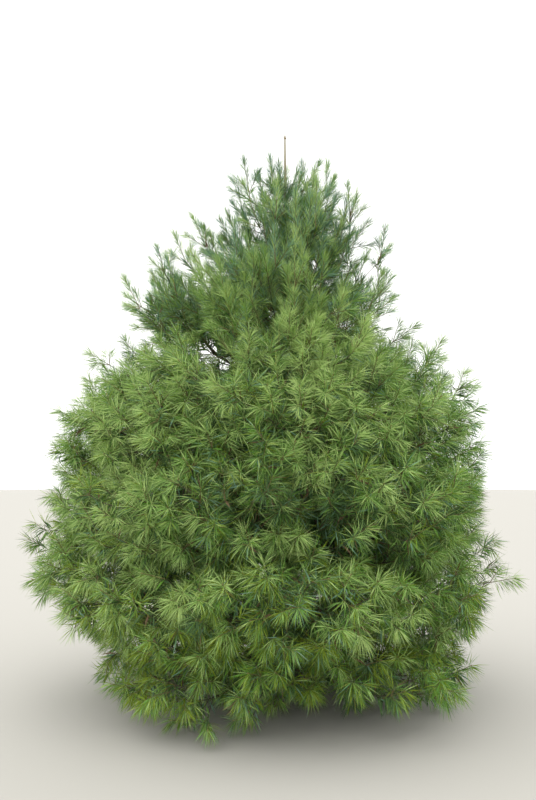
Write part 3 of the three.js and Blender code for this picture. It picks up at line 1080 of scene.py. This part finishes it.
class PINE_OT_trunk(bpy.types.Operator):
    """Make the trunk with its flare, whorl scars and bark"""

    bl_idname = "pine.trunk"
    bl_label = "Trunk"

    def execute(self, context):
        look = context.scene.trunk_look
        rings = int(TREE_HEIGHT / look.ring_step)
        heights = TREE_HEIGHT * np.linspace(0, 1, rings)
        angles = 2 * np.pi * np.arange(look.sides) / look.sides
        height, angle = np.meshgrid(heights, angles, indexing="ij")
        radius = trunk_radius(height, angle)
        depth = look.relief * np.clip(radius / STEM_RADIUS, 0.15, 1)
        radius = radius + depth * bark_relief(height, angle, 0.22)
        for whorl in WHORLS[:-1]:
            above = height - whorl.start
            radius += COLLAR * np.exp(-((above / COLLAR_HEIGHT) ** 2))
            radius -= GROOVE * np.exp(-(((above - GROOVE_ABOVE) / GROOVE_HEIGHT) ** 2))
        corners = out_from_trunk(height, radius, angle).reshape(-1, 3)
        corners = np.concatenate([corners, trunk_centre([0.0]), trunk_centre([TREE_HEIGHT])])
        index = np.arange(rings * look.sides).reshape(rings, look.sides)
        low, high = index[:-1], index[1:]
        sides = np.stack([low, np.roll(low, -1, 1), np.roll(high, -1, 1), high], axis=-1)
        sides = sides.reshape(-1, 4)
        first, last = index[0], index[-1]
        foot, tip = np.full_like(first, index.size), np.full_like(last, index.size + 1)
        foot_cap = np.stack([np.roll(first, -1), first, foot], axis=-1)
        tip_cap = np.stack([last, np.roll(last, -1), tip], axis=-1)
        triangles = np.concatenate([sides[:, [0, 1, 2]], sides[:, [0, 2, 3]], foot_cap, tip_cap])
        material = bark_material(
            "bark", look.bark_dark, look.bark_light, scale=26, bump=0.004, patches=0.55,
            young=look.leader, young_from=3.3,
        )
        mesh_piece("trunk_bark", corners, triangles, material, ["trunk"])
        return {"FINISHED"}


class PINE_OT_boughs(bpy.types.Operator):
    """Make the boughs that leave the trunk and run on through the foliage"""

    bl_idname = "pine.boughs"
    bl_label = "Boughs"

    def execute(self, context):
        look = context.scene.trunk_look
        crown = grow_crown()
        lines, radii = [], []
        for bough in crown.boughs:
            at = np.linspace(0, len(bough.line) - 1, BOUGH_RINGS)
            steps = np.arange(len(bough.line))
            line = np.stack([np.interp(at, steps, bough.line[:, k]) for k in range(3)], axis=-1)
            way = ways_along(line)
            load = np.interp(at, steps, bough.load)
            bare = bough.whorl.bare
            inner = bough.whorl.radius * (1 - BOUGH_TAPER * np.clip(way / bare, 0, 1))
            end = bough.whorl.radius * (1 - BOUGH_TAPER)
            outer = end * (load / load[np.searchsorted(way, bare)]) ** 0.5
            radius = np.where(way < bare, inner, np.minimum(outer, end))
            knobs = 1 + 0.04 * np.sin(way * 61) * np.sin(way * 23)
            lines.append(line)
            radii.append(np.maximum(radius, LEAST_BOUGH) * knobs)
        corners, faces = tubes(np.array(lines), np.array(radii), BOUGH_SIDES)
        material = bark_material(
            "bough_bark", look.bough_dark, look.bough_light, scale=48, bump=0.002, patches=0.4
        )
        mesh_piece("bough_bark", corners, faces, material, BOUGHS)
        return {"FINISHED"}


class PINE_OT_twigs(bpy.types.Operator):
    """Make the twigs, the year's shoots and their buds"""

    bl_idname = "pine.twigs"
    bl_label = "Twigs, shoots and buds"

    def execute(self, context):
        look = context.scene.twig_look
        crown = grow_crown()
        lines, radii = crown.twigs
        stout = radii[:, 0] > STOUT_TWIG
        material = bark_material(
            "twig_bark", look.twig_dark, look.twig_light, scale=140, bump=0.0008, patches=0.25
        )
        for name, mine, sides in (("branches", stout, BRANCH_SIDES), ("twigs", ~stout, TWIG_SIDES)):
            corners, faces = tubes(lines[mine], radii[mine], sides)
            mesh_piece(name, corners, faces, material, FOLIAGE)

        shoots = crown.shoots
        ends = shoots.start + shoots.aim * shoots.length[:, None]
        lines = np.stack([shoots.start, ends], axis=1)
        radii = np.broadcast_to(SHOOT_RADII, lines.shape[:2])
        corners, faces = tubes(lines, radii, TWIG_SIDES)
        material = bark_material(
            "shoot_bark", look.shoot_dark, look.shoot_light, scale=190, bump=0.0004, patches=0
        )
        mesh_piece("shoots", corners, faces, material, FOLIAGE)

        leading = (shoots.depth < SHALLOW) & (shoots.order == 0)
        aims = shoots.aim[leading][:, None]
        lines = ends[leading][:, None] + aims * np.array(BUD_STEPS)[None, :, None]
        radii = np.broadcast_to(BUD_RADII, lines.shape[:2])
        top = trunk_centre(TREE_HEIGHT - BUDS_BELOW)
        for turn, lean in TOP_BUDS:
            start = top - UP * (SIDE_BUD_DROP if lean else TOP_BUD_DROP)
            lean = math.radians(lean)
            out = np.array([math.cos(turn), math.sin(turn), 0.0]) * math.sin(lean)
            out[2] = math.cos(lean)
            lines = np.concatenate([lines, (start + out * np.array(TOP_BUD_STEPS)[:, None])[None]])
            radii = np.concatenate([radii, [TOP_BUD_RADII]])
        corners, faces = tubes(lines, radii, TWIG_SIDES)
        material = bark_material(
            "bud_scales", look.bud_dark, look.bud_light, scale=240, bump=0.0005, patches=0
        )
        mesh_piece("buds", corners, faces, material, FOLIAGE)
        return {"FINISHED"}


def with_last_year(crown):
    """The shoots, and the last part of each twig, which still bears last year's needles."""
    shoots, lines = crown.shoots, crown.twigs[0]
    start, end = lines[:, -3], lines[:, -1]
    length = np.minimum(lengths_of(end - start), LAST_YEAR_LENGTH)
    aim = unit(end - start)
    return Shoots(
        np.concatenate([shoots.start, end - aim * length[:, None]]),
        np.concatenate([shoots.aim, aim]),
        np.concatenate([shoots.length, length]),
        np.concatenate([shoots.depth, np.full(len(lines), LAST_YEAR_DEPTH)]),
        np.concatenate([shoots.order, np.zeros(len(lines), dtype=int)]),
    )


def grow_needles(look, shoots, rng):
    """Base, middle, tip, half blade, shoot and place along the shoot of every needle."""
    inward = ramp(shoots.depth, *INNER_NEEDLES)
    keep = 1 - (1 - look.inner) * inward
    keep *= 1 - TOP_THINNER * openness(shoots.start[:, 2])
    counts = np.round(shoots.length * look.per_metre * keep)
    counts = np.maximum(FEWEST_NEEDLES, counts).astype(int)
    shoot = np.repeat(np.arange(len(counts)), counts)
    total = len(shoot)
    open_share = openness(shoots.start[shoot, 2])
    t = rng.beta(1.9, 0.85, total)
    t = np.where(rng.random(total) < 0.35 * open_share, rng.random(total) ** 0.75, t)
    aim = shoots.aim[shoot]
    base = shoots.start[shoot] + aim * (shoots.length[shoot] * t)[:, None]
    side = unit(np.cross(aim, rng.normal(size=(total, 3))))
    turned = (side[:, 2] > 0.1) & (rng.random(total) < 0.5 * (1 - open_share))
    side[turned] *= -1
    wide = WIDE_LEAN[0] - WIDE_LEAN[1] * t**1.4
    narrow = NARROW_LEAN[0] - NARROW_LEAN[1] * t
    lean = np.radians(wide + (narrow - wide) * open_share + rng.normal(0, LEAN_STRAY, total))
    out = unit(aim * np.cos(lean)[:, None] + side * np.sin(lean)[:, None])
    length = look.length * (1 - (0.04 + 0.17 * t) * open_share)
    length *= rng.uniform(*NEEDLE_LENGTHS, total)
    low = ramp(base[:, 2], *LOW_NEEDLES)
    droop = look.droop * (1 - 0.8 * open_share + 0.7 * low) * rng.uniform(*NEEDLE_DROOPS, total)
    out = unit(out - UP * (0.45 * droop + 0.12 * low)[:, None])
    hang = unit(out - UP * (0.4 * droop)[:, None])
    middle = base + out * (BEND_AT * length)[:, None]
    tip = middle + hang * ((1 - BEND_AT) * length)[:, None]
    width = look.width * (1 + INNER_WIDER * inward[shoot]) * (1 - TOP_NARROWER * open_share)
    half = unit(np.cross(out, rng.normal(size=(total, 3)))) * (width / 2)[:, None]
    return base, middle, tip, half, shoot, t


def tones_of_needles(shoots, shoot, along, rng):
    """Tone of each needle: most take their spray's tone, and the rest one drawn for themselves."""
    across, back, height = shoots.start.T
    inward = ramp(shoots.depth, *INNER_TONES)
    inward = np.maximum(inward, HOLLOW_SHADE * in_line_with(HOLLOWS, shoots.start))[:, None]
    rise = ramp(height, *BELT_TONES)[:, None]
    crest = ramp(height, *CREST_TONES)[:, None]
    top_start, top_over = TOP_TONES
    ahead = ramp(-back, 0, 0.8)
    top = ramp(height - top_start, FRONT_TOP_LIFT * ahead, top_over)[:, None]
    low, belt, full, high, inner, left, right = np.array([tone[1:] for tone in TONES]).T
    outer = low * (1 - rise) + belt * rise
    outer = outer * (1 - crest) + full * crest
    outer = outer * (1 - top) + high * top
    aside = ramp(np.abs(across), *SIDE_TONES)[:, None]
    outer = outer * (1 + aside * (np.where(across[:, None] < 0, left, right) - 1))
    outer /= outer.sum(axis=1, keepdims=True)
    edges = np.cumsum(outer * (1 - inward) + inner * inward, axis=1)
    edges /= edges[:, -1:]
    spray_of = np.cumsum(shoots.order == 0) - 1
    draw = rng.random(spray_of[-1] + 1)[spray_of]
    own = rng.random(len(shoot)) < OWN_TONE_SHARE
    pale = in_line_with(PALE_FANS, shoots.start) & (back < 0) & (shoots.depth < PALE_DEPTH)
    # Paler needles towards a shoot's end and in the pale fans: partly fresher growth and partly
    # painted light. The darker needles at a shoot's foot are partly painted shade.
    fresher_and_lit = FOOT_FRESHNESS_AND_SHADE + END_FRESHER_AND_LIT * along + PALE_FAN_FRESHER_AND_LIT * pale[shoot]
    near = np.abs(draw[shoot] + rng.normal(0, TONE_STRAY, len(shoot)))
    draw = np.where(own, rng.random(len(shoot)), 1 - np.abs(1 - near)) ** fresher_and_lit
    tone = (draw[:, None] > edges[shoot, :-1]).sum(axis=1)
    dead = len(TONES) - 1
    return np.where((tone == dead) & ~own, dead - 1, tone)


class PINE_OT_needles(bpy.types.Operator):
    """Make the needles, with each spray's needles dealt out to pieces by tone"""

    bl_idname = "pine.needles"
    bl_label = "Needles"

    def execute(self, context):
        look = context.scene.needle_look
        crown = grow_crown()
        shoots = with_last_year(crown)
        rng = np.random.default_rng(context.scene.crown_look.seed + 1)
        base, middle, tip, half, shoot, along = grow_needles(look, shoots, rng)
        corners = np.stack([base, middle - half, middle + half, tip], axis=1)
        low, high = np.array(frame_low), np.array(frame_high)
        room_round = NEEDLE_ROOM_SHARE * (high - low) + NEEDLE_ROOM
        fits = (corners > low - room_round).all(axis=(1, 2))
        fits &= (corners < high + room_round).all(axis=(1, 2))
        fits &= (corners[:, :, 2] > NEEDLE_CLEARANCE).all(axis=1)
        fits &= ~in_line_with(WINDOWS, tip)
        tone = tones_of_needles(shoots, shoot, along, rng)
        for k, part in enumerate(TONES):
            mine = corners[fits & (tone == k)]
            if not len(mine):
                continue
            finish = DULL_FINISH if part.name in DULL_TONES else FRESH_FINISH
            material = plain_material(f"needles_{part.name}", getattr(look, part.name), *finish)
            pieces = np.array_split(mine, math.ceil(len(mine) / MOST_NEEDLES))
            for number, share in enumerate(pieces, 1):
                index = np.arange(len(share) * 4).reshape(-1, 4)
                faces = np.concatenate([index[:, [0, 1, 2]], index[:, [2, 1, 3]]])
                mesh_piece(
                    f"needles_{part.name}_{number}", share.reshape(-1, 3), faces, material,
                    FOLIAGE, smooth=False,
                )
        return {"FINISHED"}


class PINE_OT_stage(bpy.types.Operator):
    """Make the floor, the soft light and the camera at the photograph's viewing angle"""

    bl_idname = "pine.stage"
    bl_label = "Floor, light and camera"

    def execute(self, context):
        scene = context.scene
        look = scene.stage_look
        scene.view_settings.view_transform = "Standard"
        angles = 2 * np.pi * np.arange(FLOOR_SIDES) / FLOOR_SIDES
        radius = look.floor_radius
        rim = [(radius * math.cos(angle), radius * math.sin(angle), 0) for angle in angles]
        mesh = bpy.data.meshes.new("floor")
        mesh.from_pydata(rim, [], [list(range(FLOOR_SIDES))])
        mesh.materials.append(plain_material("floor", look.floor_colour, 0.9))
        floor = bpy.data.objects.new("floor", mesh)
        scene.collection.objects.link(floor)

        world = scene.world or bpy.data.worlds.new("sky")
        scene.world = world
        world.use_nodes = True
        sky = world.node_tree.nodes["Background"]
        sky.inputs["Color"].default_value = SKY_COLOUR
        sky.inputs["Strength"].default_value = look.sky_strength

        light = bpy.data.lights.new("key", "SUN")
        light.energy = look.key_strength
        light.angle = math.radians(KEY_SPREAD)
        light.color = KEY_COLOUR
        lamp = bpy.data.objects.new("key", light)
        lamp.location = KEY_PLACE
        lamp.rotation_mode = "QUATERNION"
        lamp.rotation_quaternion = (-Vector(KEY_PLACE)).to_track_quat("-Z", "Y")
        scene.collection.objects.link(lamp)

        lens = bpy.data.cameras.new("camera")
        lens.sensor_width = 36
        lens.lens = 36 * FOCAL_SHARE
        camera = bpy.data.objects.new("camera", lens)
        camera.location = Vector(EYE)
        camera.rotation_euler = (math.radians(90 + EYE_PITCH), 0, 0)
        scene.collection.objects.link(camera)
        scene.camera = camera
        return {"FINISHED"}


class PINE_PT_panel(bpy.types.Panel):
    """Lists the pieces of the tree and what can be changed on them"""

    bl_idname = "PINE_PT_panel"
    bl_label = "Young pine tree"
    bl_space_type = "VIEW_3D"
    bl_region_type = "UI"
    bl_category = "Pine"

    def draw(self, context):
        for step, group in zip(OPERATORS, LOOKS):
            self.layout.operator(step.bl_idname)
            look = getattr(context.scene, group)
            for field in look.__annotations__:
                self.layout.prop(look, field)


OPERATORS = (PINE_OT_trunk, PINE_OT_boughs, PINE_OT_twigs, PINE_OT_needles, PINE_OT_stage)
# What can be changed for each operator, in the same order.
LOOKS = {
    "trunk_look": TrunkLook,
    "crown_look": CrownLook,
    "twig_look": TwigLook,
    "needle_look": NeedleLook,
    "stage_look": StageLook,
}
CLASSES = (*LOOKS.values(), *OPERATORS, PINE_PT_panel)


def register():
    for kind in CLASSES:
        bpy.utils.register_class(kind)
    for name, kind in LOOKS.items():
        setattr(bpy.types.Scene, name, bpy.props.PointerProperty(type=kind))


def unregister():
    for name in LOOKS:
        delattr(bpy.types.Scene, name)
    for kind in reversed(CLASSES):
        bpy.utils.unregister_class(kind)


def main():
    register()
    bpy.ops.pine.trunk()
    bpy.ops.pine.boughs()
    bpy.ops.pine.twigs()
    bpy.ops.pine.needles()
    bpy.ops.pine.stage()


if __name__ == "__main__":
    main()
